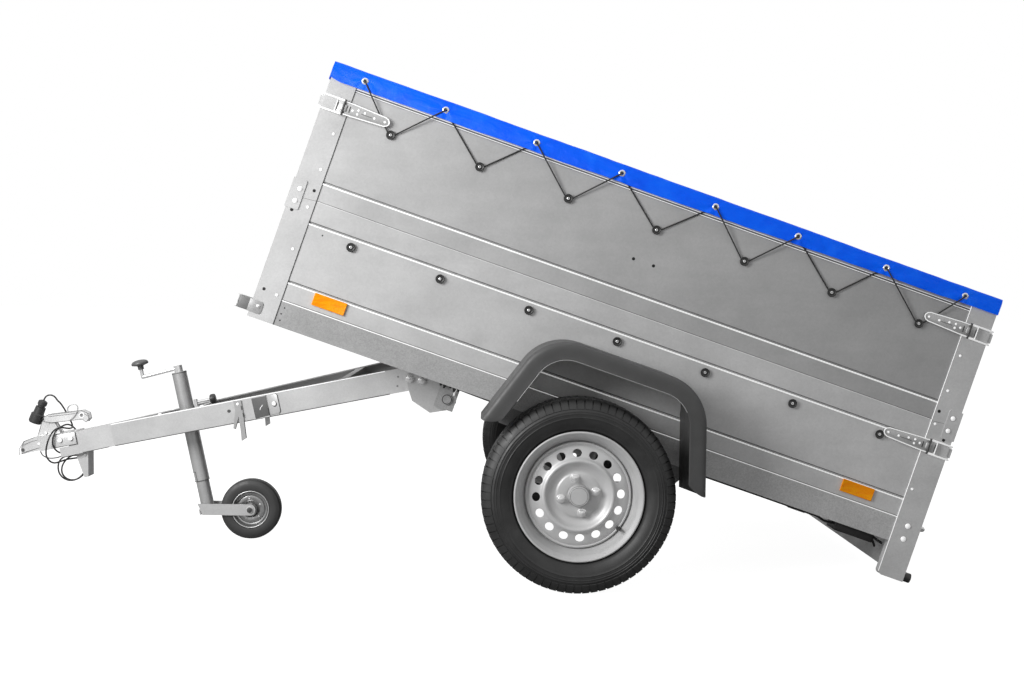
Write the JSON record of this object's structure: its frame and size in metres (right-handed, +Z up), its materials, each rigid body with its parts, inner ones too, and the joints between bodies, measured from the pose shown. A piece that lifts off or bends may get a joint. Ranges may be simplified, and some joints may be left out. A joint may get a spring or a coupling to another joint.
{
  "type": "single-axle tipping utility trailer",
  "caption": "Galvanised single-axle utility trailer with raised sides, a tipping load bed, a flat tarpaulin and a jockey wheel, parked tipped back on its rear buffers.",
  "frame": {"origin": "on the ground, under the middle of the whole trailer", "axes": "+X towards the rear, the coupling is at -X; +Y to the right-hand side; +Z up"},
  "size_m": [3.0524, 1.58, 1.4969],
  "materials": {
    "black_plastic": "moulded polypropylene",
    "blue_tarp": "coated PVC tarpaulin",
    "floor_board": "phenolic-faced plywood",
    "galvanised": "hot-dip galvanised sheet",
    "grey_plastic": "moulded handle knob",
    "lamp_lens": "red lens",
    "rubber": "moulded rubber",
    "silver_paint": "silver wheel paint",
    "tyre": "road tyre rubber",
    "zinc": "bright zinc plate"
  },
  "bodies": {
    "bed": {"side_sills": "galvanised", "cross_members": "galvanised", "load_floor": "floor_board", "lower_sides": "galvanised", "upper_sides": "galvanised", "corner_posts": "galvanised", "front_wall": "galvanised", "lamp_board": "galvanised", "lamps": "lamp_lens", "latches": "zinc", "rear_buffers": "rubber", "mudguards": "black_plastic", "axle_beam": "galvanised", "leaf_springs": "galvanised", "bed_hinge_brackets": "galvanised", "tarp_top": "blue_tarp", "tarp_side_skirts": "blue_tarp", "tarp_front_skirt": "blue_tarp", "tarp_rear_skirt": "blue_tarp", "tarp_buttons": "black_plastic"},
    "front_gate": {"front_gate": "galvanised"},
    "rear_gate": {"rear_gate": "galvanised"},
    "tailgate": {"tailgate": "galvanised"},
    "wheel_left": {"hub_left": "galvanised", "rim_left": "silver_paint", "tyre_left": "tyre"},
    "wheel_right": {"hub_right": "galvanised", "rim_right": "silver_paint", "tyre_right": "tyre"},
    "drawbar": {"drawbar_arms": "galvanised", "drawbar_cross_bars": "galvanised", "coupling_head": "zinc", "coupling_handle": "zinc", "support_leg": "galvanised", "tilt_hooks": "zinc", "jockey_clamp": "galvanised", "jockey_outer_tube": "galvanised", "jockey_crank": "zinc", "crank_knob": "grey_plastic", "trailer_plug": "black_plastic", "plug_cable": "black_plastic"},
    "jack": {"jockey_inner_tube": "galvanised"},
    "jockey_fork": {"jockey_fork": "galvanised"},
    "jockey_wheel": {"jockey_rim": "zinc", "jockey_tyre": "tyre"}
  },
  "joints": [
    {"name": "tip_hinge", "type": "hinge", "parent": "bed", "child": "drawbar", "pos_m": [-0.10532, 0, 0.51202], "axis": [0, 1, 0], "range_deg": [-10, 31.4]},
    {"name": "left_wheel_spin", "type": "hinge", "parent": "bed", "child": "wheel_left", "pos_m": [0.2756, -0.7, 0.2735], "axis": [0, 1, 0], "continuous": true},
    {"name": "right_wheel_spin", "type": "hinge", "parent": "bed", "child": "wheel_right", "pos_m": [0.2756, 0.7, 0.2735], "axis": [0, 1, 0], "continuous": true},
    {"name": "front_gate_hinge", "type": "hinge", "parent": "bed", "child": "front_gate", "pos_m": [-0.5434, 0, 1.12885], "axis": [0, -1, 0], "range_deg": [0, 100], "deforming": ["tarp_front_skirt"]},
    {"name": "rear_gate_hinge", "type": "hinge", "parent": "bed", "child": "rear_gate", "pos_m": [1.38975, 0, 0.48043], "axis": [0, 1, 0], "range_deg": [0, 100], "deforming": ["tarp_rear_skirt"]},
    {"name": "tailgate_hinge", "type": "hinge", "parent": "bed", "child": "tailgate", "pos_m": [1.3025, 0, 0.15741], "axis": [0, 1, 0], "range_deg": [0, 100]},
    {"name": "jack_slide", "type": "slide", "parent": "drawbar", "child": "jack", "axis": [0.2227, 0, -0.9749], "range_m": [-0.075, 0.15]},
    {"name": "jockey_swivel", "type": "hinge", "parent": "jack", "child": "jockey_fork", "pos_m": [-0.91077, 0, 0.1044], "axis": [-0.2227, 0, 0.9749], "continuous": true},
    {"name": "jockey_wheel_spin", "type": "hinge", "parent": "jockey_fork", "child": "jockey_wheel", "pos_m": [-0.76616, 0, 0.1], "axis": [0, 1, 0], "continuous": true}
  ]
}
